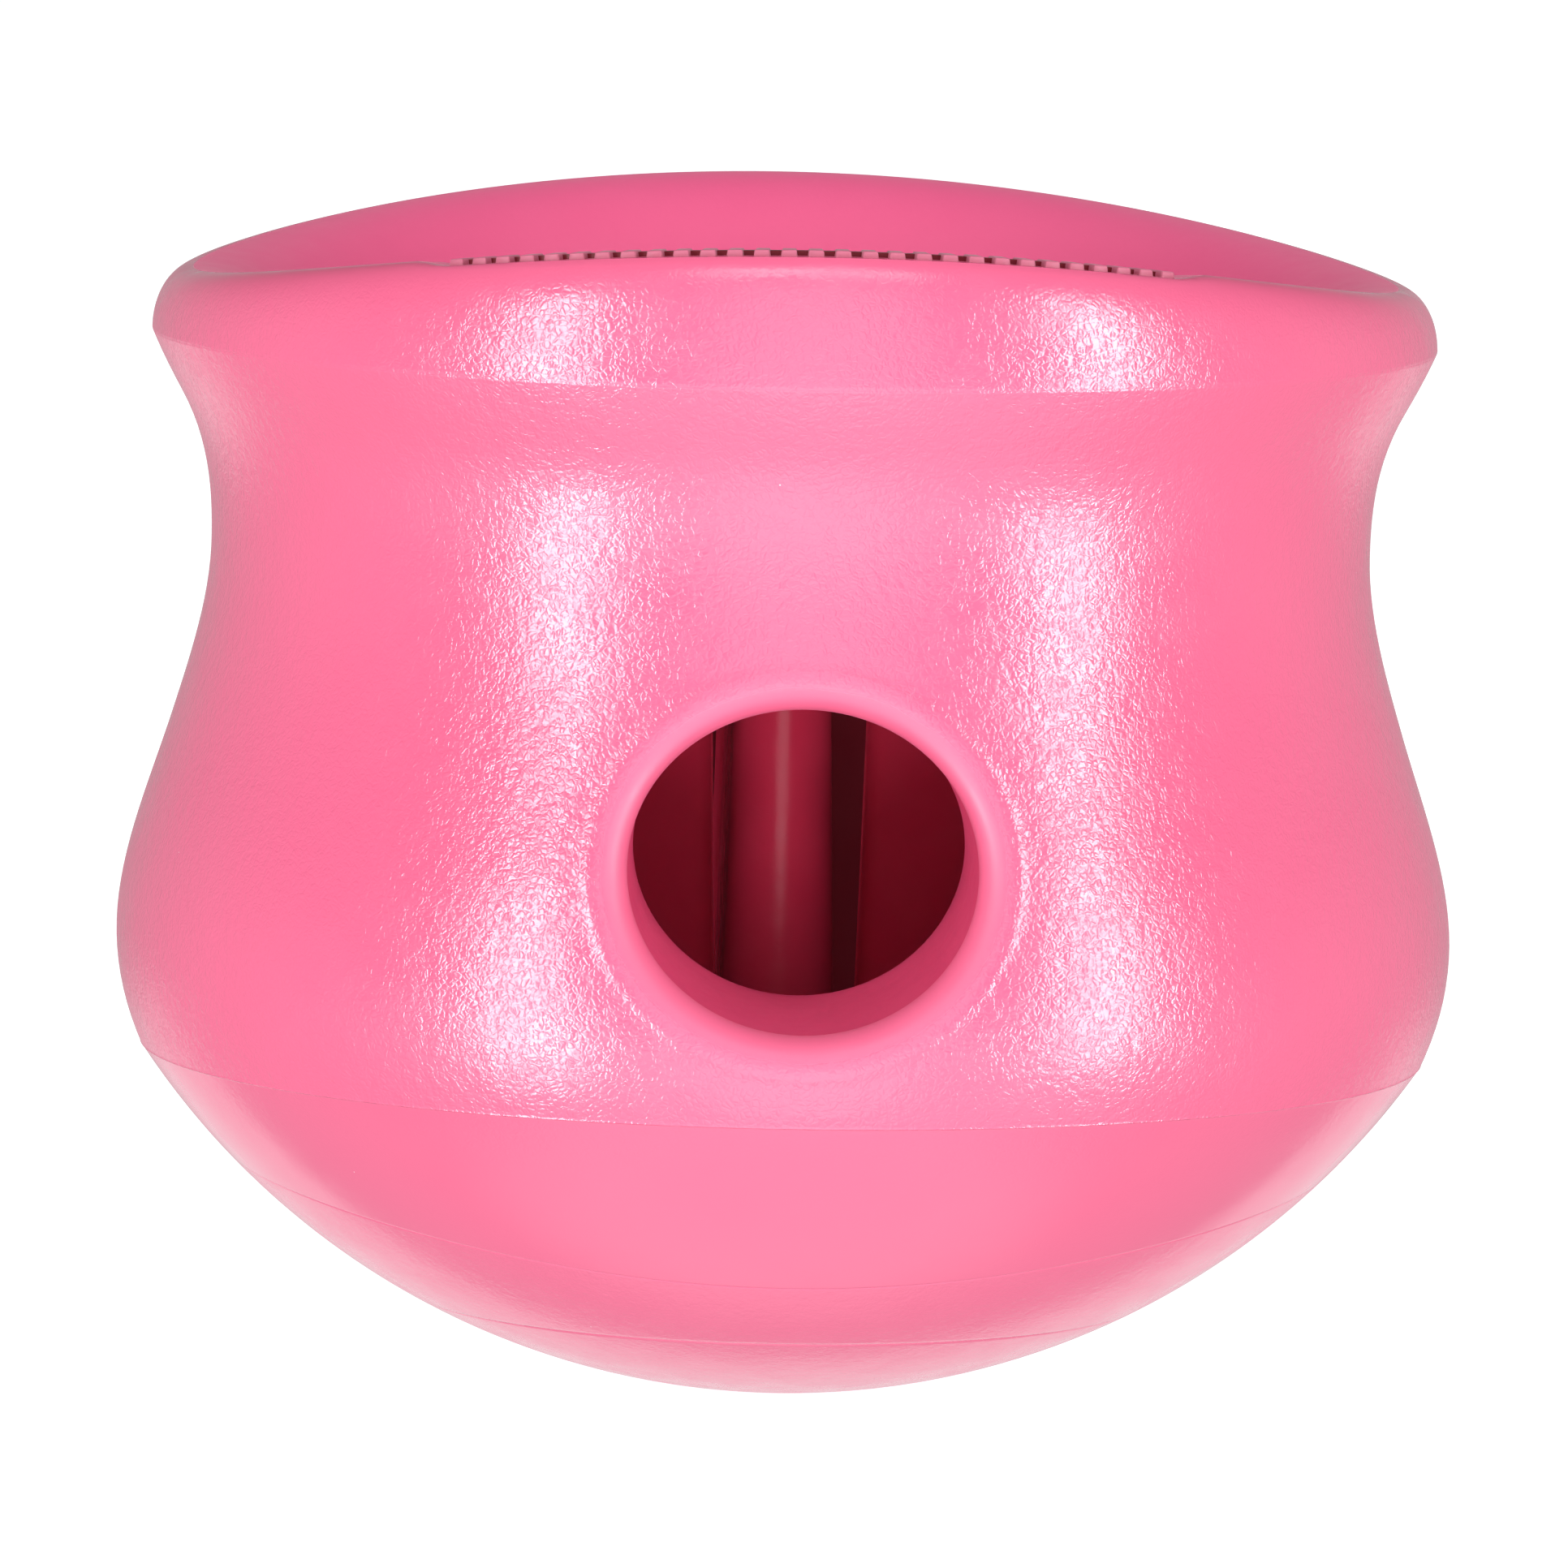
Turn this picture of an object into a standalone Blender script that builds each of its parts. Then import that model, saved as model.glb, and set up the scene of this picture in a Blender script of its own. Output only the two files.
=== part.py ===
"""Treat dispensing dog toy: a soft rubber cup with a wavy flared lip, an oval treat port in its
front and three fins inside, standing on a rounded base that lets it rock.

The toy is one moulding. It is modelled in the sections that its mould lines mark, which meet
face to face on flat planes, with the three inner fins as sections of their own.
Z is up, the port faces -Y and the origin is at the centre of the flat spot under the base.
"""

import math

import bmesh
import bpy

# Base, in metres
ROCKER_RADIUS = 0.0588
FOOT_RADIUS = 0.006
FLOOR_THICKNESS = 0.012
DISH_DEPTH = 0.002
BOWL_RISE = 0.0117

# Outer wall: how far each station lies above the last and in from the belly, and its lean
BELLY_RADIUS = 0.05075
BELLY_RISE = 0.0087
SHOULDER_RISE = 0.0162
SHOULDER_INSET = 0.00395
SHOULDER_LEAN = -0.306
WAIST_RISE = 0.0136
WAIST_INSET = 0.00675
FLARE_RISE = 0.0112
FLARE_INSET = 0.0043
FLARE_LEAN = 0.56
LIP_EDGE_RISE = 0.0046
LIP_EDGE_INSET = 0.002
LIP_EDGE_LEAN = 0.42
HEEL_LEAN = 0.45

# Lip above the upper mould line
LIP_HEIGHT = 0.0072
LIP_WAVE = 0.00255
LIP_TILT = 0.0003
LIP_OUTER_ROUND = 0.00305

# Cavity
WAIST_WALL = 0.0072
CAVITY_DRAFT = math.radians(6.0)
CAVITY_CORNER = 0.016

# Treat port through the front wall: its half sizes are those of its inner end
PORT_RISE = 0.0185
PORT_HALF_WIDTH = 0.0123
PORT_HALF_HEIGHT = 0.0111
PORT_DRAFT = math.radians(2.6)
PORT_TILT = math.radians(3.0)
PORT_FLARE = 0.003
PORT_FLARE_SWEEP = math.radians(60.0)

# Fins inside the cavity
FIN_FOOT_HALF_WIDTH = 0.0047
FIN_DRAFT = math.radians(1.45)
FIN_NOSE_OFFSET = 0.011
FIN_HEIGHT = 0.050
FIN_TOP_ROUND = 0.003
FIN_CLEARANCE = 0.0003
FIN_BEARINGS = {"inner_fin_back": 180.0, "inner_fin_left": -60.0, "inner_fin_right": 60.0}

# Facets
TURN_STEPS = 72
WALL_SPAN_STEPS = 4
LIP_ROUND_STEPS = 8
CORNER_STEPS = 6
CAP_STEPS = 7
BOWL_STEPS = 3
PORT_SIDES = 48
FLARE_STEPS = 4
NOSE_STEPS = 12
FIN_ROUND_STEPS = 4
MERGE = 0.00001

# How far a cutting tool runs past what it cuts
TOOL_OVERRUN = 0.004

# Radii and levels worked out from the sizes above
SHOULDER_RADIUS = BELLY_RADIUS - SHOULDER_INSET
WAIST_RADIUS = BELLY_RADIUS - WAIST_INSET
FLARE_RADIUS = BELLY_RADIUS - FLARE_INSET
LIP_EDGE_RADIUS = BELLY_RADIUS - LIP_EDGE_INSET
FOOT_SAG = ROCKER_RADIUS - math.sqrt(ROCKER_RADIUS**2 - FOOT_RADIUS**2)
FLOOR_LEVEL = FLOOR_THICKNESS
BASE_SEAM = FLOOR_LEVEL + DISH_DEPTH
LOWER_SEAM = BASE_SEAM + BOWL_RISE
BELLY_LEVEL = LOWER_SEAM + BELLY_RISE
SHOULDER_LEVEL = BELLY_LEVEL + SHOULDER_RISE
WAIST_LEVEL = SHOULDER_LEVEL + WAIST_RISE
FLARE_LEVEL = WAIST_LEVEL + FLARE_RISE
UPPER_SEAM = FLARE_LEVEL + LIP_EDGE_RISE
PORT_LEVEL = LOWER_SEAM + PORT_RISE
CORNER_LEVEL = FLOOR_LEVEL + CAVITY_CORNER
FIN_TOP = FLOOR_LEVEL + FIN_HEIGHT


def rocker_radius(height):
    """Radius of the ball-shaped underside at a height above the flat spot."""
    depth = ROCKER_RADIUS - FOOT_SAG - height
    return math.sqrt(ROCKER_RADIUS**2 - depth**2)


# Height, radius and lean (radius gained per height) of each station, bottom to top
WALL_STATIONS = [
    (LOWER_SEAM, rocker_radius(LOWER_SEAM), HEEL_LEAN),
    (BELLY_LEVEL, BELLY_RADIUS, 0.0),
    (SHOULDER_LEVEL, SHOULDER_RADIUS, SHOULDER_LEAN),
    (WAIST_LEVEL, WAIST_RADIUS, 0.0),
    (FLARE_LEVEL, FLARE_RADIUS, FLARE_LEAN),
    (UPPER_SEAM, LIP_EDGE_RADIUS, LIP_EDGE_LEAN),
]


def wall_radius(height):
    """Outer radius between the mould lines: a cubic from each station to the next."""
    for low, high in zip(WALL_STATIONS, WALL_STATIONS[1:]):
        if height <= high[0] or high is WALL_STATIONS[-1]:
            break
    span = high[0] - low[0]
    t = (height - low[0]) / span
    blend = t * t * (3 - 2 * t)
    lean = low[2] * t * (1 - t) ** 2 - high[2] * t * t * (1 - t)
    return low[1] + (high[1] - low[1]) * blend + lean * span


def cavity_radius(height):
    """Inner radius: a drafted bore down to the rounded corner at the floor."""
    bore = WAIST_RADIUS - WAIST_WALL
    bore -= (WAIST_LEVEL - max(height, CORNER_LEVEL)) * math.tan(CAVITY_DRAFT)
    below = max(CORNER_LEVEL - height, 0.0)
    return bore - CAVITY_CORNER + math.sqrt(max(CAVITY_CORNER**2 - below**2, 0.0))


def front_face(x, height):
    """Y of the outer wall's front at a point seen from the front."""
    return -math.sqrt(wall_radius(height) ** 2 - x * x)


def spread(start, end, steps):
    """Evenly spaced values from start to end, both included."""
    return [start + (end - start) * i / steps for i in range(steps + 1)]


def wall_heights():
    """Heights of the outer wall's rings, from the upper mould line down."""
    heights = [UPPER_SEAM]
    for low, high in reversed(list(zip(WALL_STATIONS, WALL_STATIONS[1:]))):
        heights += spread(high[0], low[0], WALL_SPAN_STEPS)[1:]
    return heights


def underside(top, bottom, steps):
    """Profile down the ball-shaped underside, its points at equal turns round the ball."""
    start, end = (math.acos(1 - (height + FOOT_SAG) / ROCKER_RADIUS) for height in (top, bottom))
    turns = spread(start, end, steps)
    return [(ROCKER_RADIUS * math.sin(t), ROCKER_RADIUS * (1 - math.cos(t)) - FOOT_SAG) for t in turns]


def corner_heights(top):
    """Heights up the cavity's rounded corner, from the floor to the given top."""
    reach = math.acos(max((CORNER_LEVEL - top) / CAVITY_CORNER, 0.0))
    turns = spread(0.0, reach, CORNER_STEPS)
    return [CORNER_LEVEL - CAVITY_CORNER * math.cos(turn) for turn in turns]


def collection(name):
    made = bpy.data.collections.new(name)
    bpy.context.scene.collection.children.link(made)
    return made


def rubber(name, colour, roughness):
    material = bpy.data.materials.new(name)
    material.use_nodes = True
    shader = material.node_tree.nodes["Principled BSDF"]
    shader.inputs["Base Color"].default_value = (*colour, 1.0)
    shader.inputs["Roughness"].default_value = roughness
    shader.inputs["Metallic"].default_value = 0.0
    return material


def turned(name, profile, closed, group):
    """Profile of (radius, height) points turned round Z, running down its outer side."""
    count = len(profile)
    edges = [(i, i + 1) for i in range(count - 1)]
    if closed:
        edges.append((count - 1, 0))
    mesh = bpy.data.meshes.new(name)
    mesh.from_pydata([(radius, 0.0, height) for radius, height in profile], edges, [])
    obj = bpy.data.objects.new(name, mesh)
    group.objects.link(obj)
    screw = obj.modifiers.new("turn", "SCREW")
    screw.axis = "Z"
    screw.steps = TURN_STEPS
    screw.render_steps = TURN_STEPS
    screw.use_merge_vertices = True
    screw.merge_threshold = MERGE
    screw.use_smooth_shade = True
    return obj


def loft(name, rings, group):
    """Closed skin over rings with equal numbers of points, capped at both ends."""
    bm = bmesh.new()
    loops = [[bm.verts.new(point) for point in ring] for ring in rings]
    for first, second in zip(loops, loops[1:]):
        for i, vert in enumerate(first):
            j = (i + 1) % len(first)
            bm.faces.new((vert, first[j], second[j], second[i]))
    bm.faces.new(loops[0])
    bm.faces.new(loops[-1])
    bmesh.ops.recalc_face_normals(bm, faces=bm.faces)
    mesh = bpy.data.meshes.new(name)
    bm.to_mesh(mesh)
    bm.free()
    mesh.shade_smooth()
    mesh.set_sharp_from_angle(angle=math.radians(40))
    obj = bpy.data.objects.new(name, mesh)
    group.objects.link(obj)
    return obj


def as_tool(obj):
    obj.hide_render = True
    obj.display_type = "WIRE"


def cut(obj, tool, operation):
    boolean = obj.modifiers.new(tool.name, "BOOLEAN")
    boolean.operation = operation
    boolean.object = tool
    boolean.solver = "EXACT"


def rim_lip(group):
    """Rolled lip above the upper mould line, tall at the front and back and low at the sides."""
    crest_radius = LIP_EDGE_RADIUS - LIP_OUTER_ROUND
    inner_round = crest_radius - cavity_radius(UPPER_SEAM)
    outer_turns = spread(math.pi / 2, 0.0, LIP_ROUND_STEPS)
    inner_turns = spread(math.pi, math.pi / 2, LIP_ROUND_STEPS)[:-1]
    profile = []
    for turn in outer_turns:
        height = UPPER_SEAM + LIP_HEIGHT * math.sin(turn)
        profile.append((crest_radius + LIP_OUTER_ROUND * math.cos(turn), height))
    for turn in inner_turns:
        height = UPPER_SEAM + LIP_HEIGHT * math.sin(turn)
        profile.append((crest_radius + inner_round * math.cos(turn), height))
    ring = turned("rim_lip_ring", profile, True, group)
    graph = bpy.context.evaluated_depsgraph_get()
    mesh = bpy.data.meshes.new_from_object(ring.evaluated_get(graph))
    bpy.data.objects.remove(ring)
    for vert in mesh.vertices:
        x, y, z = vert.co
        out = math.hypot(x, y)
        rise = LIP_WAVE * (y * y - x * x) / out**2 - LIP_TILT * y / out
        vert.co.z = UPPER_SEAM + (z - UPPER_SEAM) * (1 + rise / LIP_HEIGHT)
    mesh.name = "rim_lip"
    obj = bpy.data.objects.new("rim_lip", mesh)
    group.objects.link(obj)
    return obj


def port_tool(tools):
    """Tool for the treat port: a drafted oval tunnel whose mouth flares out along the wall's face."""
    wall_depth = wall_radius(PORT_LEVEL) - cavity_radius(PORT_LEVEL)
    tunnel_end = wall_depth + TOOL_OVERRUN
    mouth_growth = wall_depth * math.tan(PORT_DRAFT)
    turns = spread(0.0, PORT_FLARE_SWEEP, FLARE_STEPS)
    sections = [(mouth_growth + PORT_FLARE * (1 - math.cos(t)), PORT_FLARE * (1 - math.sin(t))) for t in turns]
    last_growth, last_depth = sections[-1]
    run_out = 2 * last_depth / math.cos(PORT_FLARE_SWEEP)
    outside_growth = last_growth + run_out * math.sin(PORT_FLARE_SWEEP)
    sections.append((outside_growth, -last_depth))
    sections.append((outside_growth, -last_depth - TOOL_OVERRUN))
    bearings = [math.tau * i / PORT_SIDES for i in range(PORT_SIDES)]

    def oval(growth, depth):
        centre = PORT_LEVEL + depth * math.tan(PORT_TILT)
        half_width = PORT_HALF_WIDTH + growth
        half_height = PORT_HALF_HEIGHT + growth
        return [(half_width * math.cos(b), centre + half_height * math.sin(b)) for b in bearings]

    end_growth = -TOOL_OVERRUN * math.tan(PORT_DRAFT)
    end_y = tunnel_end - wall_radius(PORT_LEVEL)
    rings = [[(x, end_y, z) for x, z in oval(end_growth, tunnel_end)]]
    for growth, depth in sections:
        rings.append([(x, front_face(x, z) + depth, z) for x, z in oval(growth, depth)])
    tool = loft("port_tool", rings, tools)
    as_tool(tool)
    return tool


def side_wall(group, tools):
    """Bulging wall between the two mould lines, with the treat port through its front."""
    profile = [(wall_radius(height), height) for height in wall_heights()]
    inner_heights = [height for height in corner_heights(CORNER_LEVEL) if height > LOWER_SEAM]
    inner_heights = [LOWER_SEAM] + inner_heights
    inner_heights += spread(CORNER_LEVEL, UPPER_SEAM, 2 * WALL_SPAN_STEPS)[1:]
    profile += [(cavity_radius(height), height) for height in inner_heights]
    obj = turned("side_wall", profile, True, group)
    cut(obj, port_tool(tools), "DIFFERENCE")
    return obj


def base_bowl(group):
    """Lower wall between the base seam and the lower mould line."""
    profile = underside(LOWER_SEAM, BASE_SEAM, BOWL_STEPS)
    inner = [height for height in corner_heights(LOWER_SEAM) if height > BASE_SEAM + MERGE]
    profile += [(cavity_radius(height), height) for height in [BASE_SEAM] + inner]
    return turned("base_bowl", profile, True, group)


def base_cap(group):
    """Thick bottom that closes the cup: a shallow dish above, a ball shape with a flat spot below."""
    dish = corner_heights(BASE_SEAM)
    profile = [(0.0, FLOOR_LEVEL)]
    profile += [(cavity_radius(height), height) for height in dish]
    profile += underside(BASE_SEAM, 0.0, CAP_STEPS)
    profile.append((0.0, 0.0))
    return turned("base_cap", profile, False, group)


def cavity_core(tools):
    """The cavity's space less the fins' clearance, which trims the fins' outer ends."""
    heights = spread(CORNER_LEVEL, FIN_TOP + TOOL_OVERRUN, 2 * WALL_SPAN_STEPS)[1:]
    heights = list(reversed(corner_heights(CORNER_LEVEL) + heights))
    profile = [(0.0, heights[0])]
    profile += [(cavity_radius(height) - FIN_CLEARANCE, height) for height in heights]
    profile.append((0.0, FLOOR_LEVEL))
    core = turned("cavity_core", profile, False, tools)
    as_tool(core)
    return core


def inner_fin(name, bearing, core, group):
    """Upright fin with a full round nose, drafted upwards, that runs out into the wall."""
    crown_start = FIN_HEIGHT - FIN_TOP_ROUND
    rises = [-TOOL_OVERRUN, 0.0, crown_start / 2]
    rises += [crown_start + FIN_TOP_ROUND * math.sin(t) for t in spread(0.0, math.pi / 2, FIN_ROUND_STEPS)]
    reach = cavity_radius(FIN_TOP) + TOOL_OVERRUN
    rings = []
    for rise in rises:
        half = FIN_FOOT_HALF_WIDTH - rise * math.tan(FIN_DRAFT)
        over = max(rise - crown_start, 0.0)
        half -= FIN_TOP_ROUND - math.sqrt(max(FIN_TOP_ROUND**2 - over**2, 0.0))
        height = FLOOR_LEVEL + rise
        ring = [(-half, -reach, height)]
        for turn in spread(math.pi, 0.0, NOSE_STEPS):
            ring.append((half * math.cos(turn), -FIN_NOSE_OFFSET + half * math.sin(turn), height))
        ring.append((half, -reach, height))
        rings.append(ring)
    obj = loft(name, rings, group)
    obj.rotation_euler.z = math.radians(bearing)
    cut(obj, core, "INTERSECT")
    return obj


def main():
    for obj in list(bpy.data.objects):
        bpy.data.objects.remove(obj)
    toy = collection("treat_dispensing_toy")
    tools = collection("cutting_tools")

    pieces = [rim_lip(toy), side_wall(toy, tools), base_bowl(toy), base_cap(toy)]
    for piece in pieces:
        piece.data.materials.append(rubber(piece.name, (0.93, 0.155, 0.315), 0.42))
    core = cavity_core(tools)
    for name, bearing in FIN_BEARINGS.items():
        fin = inner_fin(name, bearing, core, toy)
        fin.data.materials.append(rubber(name, (0.86, 0.115, 0.255), 0.46))


main()
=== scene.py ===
import math

import bmesh
import bpy
from mathutils import Matrix, Quaternion, Vector


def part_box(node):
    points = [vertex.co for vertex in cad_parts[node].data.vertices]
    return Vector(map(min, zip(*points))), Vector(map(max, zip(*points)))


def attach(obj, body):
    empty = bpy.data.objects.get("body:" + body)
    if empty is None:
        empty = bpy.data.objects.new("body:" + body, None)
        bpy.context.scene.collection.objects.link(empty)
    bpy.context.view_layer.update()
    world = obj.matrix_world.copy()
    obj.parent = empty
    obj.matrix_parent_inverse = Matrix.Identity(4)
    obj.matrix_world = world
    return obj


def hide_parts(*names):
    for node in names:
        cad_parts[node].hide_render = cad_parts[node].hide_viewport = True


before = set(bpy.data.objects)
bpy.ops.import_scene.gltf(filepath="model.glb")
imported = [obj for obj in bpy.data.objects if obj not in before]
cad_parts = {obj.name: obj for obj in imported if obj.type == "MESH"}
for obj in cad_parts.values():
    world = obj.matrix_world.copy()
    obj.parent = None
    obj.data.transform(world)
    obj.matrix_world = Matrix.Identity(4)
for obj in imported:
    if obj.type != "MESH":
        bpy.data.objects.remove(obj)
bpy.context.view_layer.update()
print("frame loaded:", ", ".join(sorted(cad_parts)))

# Levels and radii that the frame gives, in metres
lowerSeam, upperSeam = (corner.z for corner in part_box("side_wall"))  # the two flat mould lines
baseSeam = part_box("base_cap")[1].z
floorLevel, finTop = (corner.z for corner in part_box("inner_fin_back"))
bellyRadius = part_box("side_wall")[1].x

turnSteps = 256  # columns round every turned piece, a whole number of them on each side of the port
mergeGap = 1e-6

# Shape of the body, shared by the pieces so that they meet flush
body = {
    "bellyRise": 0.0087,
    "shoulderRise": 0.0162, "shoulderInset": 0.00395, "shoulderLean": -0.306,
    "waistRise": 0.0136, "waistInset": 0.00675,
    "flareRise": 0.0112, "flareInset": 0.0043, "flareLean": 0.56,
    "lipEdgeInset": 0.002, "lipEdgeLean": 0.42,
    "heelLean": 0.45,
    "ballRadius": 0.0588, "footRadius": 0.006,
    "portRise": 0.0185, "lipRound": 0.00305,
    "waistWall": 0.0072, "cavityDraft": math.radians(6), "cavityCorner": 0.016,
    # nick or raised hairline that the mould leaves at a seam
    "seamWidth": 0.00007, "seamDepth": 0.00003, "flashRise": 0.00003,
    "seamFade": 3,  # nick widths from a seam to the full surface
    "skinMargin": 0.0004,  # a face this near to the cavity's wall belongs to it
}
footSag = body["ballRadius"] - math.sqrt(body["ballRadius"] ** 2 - body["footRadius"] ** 2)
ballCentre = body["ballRadius"] - footSag  # its height, straight above the foot
bellyLevel = lowerSeam + body["bellyRise"]
shoulderLevel = bellyLevel + body["shoulderRise"]
waistLevel = shoulderLevel + body["waistRise"]
flareLevel = waistLevel + body["flareRise"]
cornerLevel = floorLevel + body["cavityCorner"]
portLevel = lowerSeam + body["portRise"]


def ballAngle(height):  # angle up the ball from its lowest point
    return math.acos(1 - (height + footSag) / body["ballRadius"])


def ballPoint(angle):  # radius and height of a point on the ball
    return body["ballRadius"] * math.sin(angle), body["ballRadius"] * (1 - math.cos(angle)) - footSag


stations = [  # height, radius and lean, bottom to top
    (lowerSeam, ballPoint(ballAngle(lowerSeam))[0], body["heelLean"]),
    (bellyLevel, bellyRadius, 0.0),
    (shoulderLevel, bellyRadius - body["shoulderInset"], body["shoulderLean"]),
    (waistLevel, bellyRadius - body["waistInset"], 0.0),
    (flareLevel, bellyRadius - body["flareInset"], body["flareLean"]),
    (upperSeam, bellyRadius - body["lipEdgeInset"], body["lipEdgeLean"]),
]


def wallRadius(height):  # outer wall: a cubic from each station to the next
    for low, high in zip(stations, stations[1:]):
        if height <= high[0] or high is stations[-1]:
            break
    span = high[0] - low[0]
    t = (height - low[0]) / span
    lean = low[2] * t * (1 - t) ** 2 - high[2] * t * t * (1 - t)
    return low[1] + (high[1] - low[1]) * t * t * (3 - 2 * t) + lean * span


crestRadius = wallRadius(upperSeam) - body["lipRound"]


def cavityRadius(height):  # inner wall: a drafted bore down to the rounded corner at the floor
    bore = bellyRadius - body["waistInset"] - body["waistWall"]
    bore -= (waistLevel - max(height, cornerLevel)) * math.tan(body["cavityDraft"])
    below = max(cornerLevel - height, 0.0)
    corner = body["cavityCorner"]
    return bore - corner + math.sqrt(max(corner ** 2 - below ** 2, 0.0))


def axisDistance(co):
    return math.hypot(co.x, co.y)


def isCavity(co):  # whether a point lies on the inner wall
    return axisDistance(co) < cavityRadius(co.z) + body["skinMargin"]


def spread(start, end, steps):
    return [start + (end - start) * i / steps for i in range(steps + 1)]


# Modelling helpers
def freshStart():
    if bpy.context.object and bpy.context.object.mode == "EDIT":
        bpy.ops.object.mode_set(mode="OBJECT")
    bpy.ops.object.select_all(action="DESELECT")


def pick(piece, wanted, kind="verts"):  # selects points, edges or faces by a test on their middle
    bm = bmesh.from_edit_mesh(piece.data)
    for part in (*bm.verts, *bm.edges, *bm.faces):
        part.select = False
    for part in getattr(bm, kind):
        if kind == "verts":
            middle = part.co
        elif kind == "edges":
            middle = (part.verts[0].co + part.verts[1].co) / 2
        else:
            middle = part.calc_center_median()
        if wanted(middle):
            part.select_set(True)
    bmesh.update_edit_mesh(piece.data)


def snapPicked(piece, place):  # moves each selected point to where place says
    bm = bmesh.from_edit_mesh(piece.data)
    for vert in bm.verts:
        if vert.select:
            vert.co = place(vert.co.copy())
    bmesh.update_edit_mesh(piece.data)


def selectOpenEdges(piece, wanted=None):  # the edges round its holes, or those with both ends wanted
    bpy.ops.mesh.select_mode(type="EDGE")
    bpy.ops.mesh.select_all(action="DESELECT")
    bpy.ops.mesh.select_non_manifold(
        use_wire=False, use_multi_face=False, use_non_contiguous=False, use_verts=False)
    if wanted:
        bm = bmesh.from_edit_mesh(piece.data)
        for edge in bm.edges:
            edge.select_set(edge.select and all(wanted(vert.co) for vert in edge.verts))
        bmesh.update_edit_mesh(piece.data)


def spunPiece(name, profile):  # a profile of (radius, height) drawn point by point, closed and spun round Z
    freshStart()
    bpy.ops.mesh.primitive_plane_add(size=0.001, location=(0, 0, 0))
    piece = bpy.context.active_object
    piece.name = piece.data.name = name
    bpy.ops.object.mode_set(mode="EDIT")
    bpy.ops.mesh.select_mode(type="VERT")
    bpy.ops.mesh.select_all(action="SELECT")
    bpy.ops.mesh.merge(type="CENTER")
    bpy.ops.transform.translate(value=(profile[0][0], 0, profile[0][1]))
    for here, there in zip(profile, profile[1:] + profile[:1]):
        step = (there[0] - here[0], 0, there[1] - here[1])
        bpy.ops.mesh.extrude_region_move(TRANSFORM_OT_translate={"value": step})
    bpy.ops.mesh.select_all(action="SELECT")
    bpy.ops.mesh.spin(steps=turnSteps, angle=math.tau, center=(0, 0, 0), axis=(0, 0, 1))
    bpy.ops.mesh.select_all(action="SELECT")
    bpy.ops.mesh.remove_doubles(threshold=mergeGap)
    bpy.ops.mesh.normals_make_consistent(inside=False)
    return piece


def finishPiece(piece, sharpAngle=35):
    bpy.ops.object.mode_set(mode="EDIT")
    bpy.ops.mesh.select_all(action="SELECT")
    bpy.ops.mesh.remove_doubles(threshold=mergeGap)
    bpy.ops.mesh.normals_make_consistent(inside=False)
    bpy.ops.object.mode_set(mode="OBJECT")
    bpy.ops.object.shade_smooth_by_angle(angle=math.radians(sharpAngle))
    print("modelled", piece.name, len(piece.data.polygons), "faces")


# Rubber: a noise has a size in metres and a detail, and a bump is in metres
rubber = {
    "colour": (0.75, 0.115, 0.236), "specular": 1.0, "sheen": 0.0, "sheenRoughness": 0.4,
    "paleShare": 0.02, "paleColour": (1, 0.6, 0.7), "paleNoise": (0.009, 2.0),
    "dustColour": (0.85, 0.55, 0.62), "dustShare": 0.75,
    "dustSize": 0.005, "dustReach": 0.016, "dustCore": 0.6,  # spacing, and reach as a share of it
    "roughness": (0.17, 0.25), "glossNoise": (0.003, 3.0), "glossZone": (0.3, 0.7),
    "bendNoise": (1 / 900, 2.0), "bendReach": 0.0007,  # bends the outlines of the pebbles
    "pebbleSize": 0.00044, "pebbleSlope": 0.28, "pebbleBump": 0.000013,
    "waveNoise": (0.0008, 1.5), "waveBump": 0.00006, "grainNoise": (0.00018, 1.0), "grainBump": 0.0000015,
    # the port's edge is smooth and matt, in an oval this wide
    "smoothPort": (0.0143, 0.0152), "portStretch": (1, 9, 1.1), "mattShare": 0.28,
    "smoothCrest": (0.0008, 0.003), "crestRise": 0.0005,  # smooth inward from here outside the lip's crest
    # below the lower seam it is glossier, with a share of the pebbles on the base and another near the seam
    "baseGloss": 0.07, "baseShare": 0.12, "seamShare": 0.35, "seamZone": (0.006, 0.001), "seamStep": 0.0001,
}
# Painted shade: the cavity's walls and floor are a dark crimson copy of the pink rubber, standing for the
# shade inside the cup
shadedInsideRubber = {
    **rubber, "colour": (0.16, 0.0065, 0.016), "specular": 0.3, "roughness": (0.36, 0.46),
    "paleNoise": (0.006, 2.0), "dustColour": (0.75, 0.45, 0.52),
    "pebbleSize": 0.0005, "pebbleBump": 0.000002,
    "waveNoise": (0.0015, 1.5), "waveBump": 0.00003, "grainBump": 0.000002,
}
# Painted light and shade: the fins are the same pink rubber, given a brighter, deeper crimson colour for
# how light reaches them inside the cup
finPaintedLightRubber = {
    **shadedInsideRubber, "colour": (0.88, 0.034, 0.105), "specular": 0.6, "roughness": (0.18, 0.25),
    "paleShare": 0.04, "waveNoise": (0.0013, 1.5), "waveBump": 0.000022,
}
# Painted light: the lip's inner slope is a lighter pink copy of the rubber
litLipRubber = {**shadedInsideRubber, "colour": (0.88, 0.12, 0.28), "roughness": (0.5, 0.6), "sheen": 0.12}
barRubber = {**litLipRubber, "colour": (0.55, 0.14, 0.22), "roughness": (0.4, 0.5)}
# Painted shade: the port's tunnel is a darker copy of the rubber
shadedPortRubber = {**litLipRubber, "colour": (0.6, 0.05, 0.14), "sheen": 0.0}
capRubber = {**rubber, "baseGloss": 0.03, "baseShare": 0.4}


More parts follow.
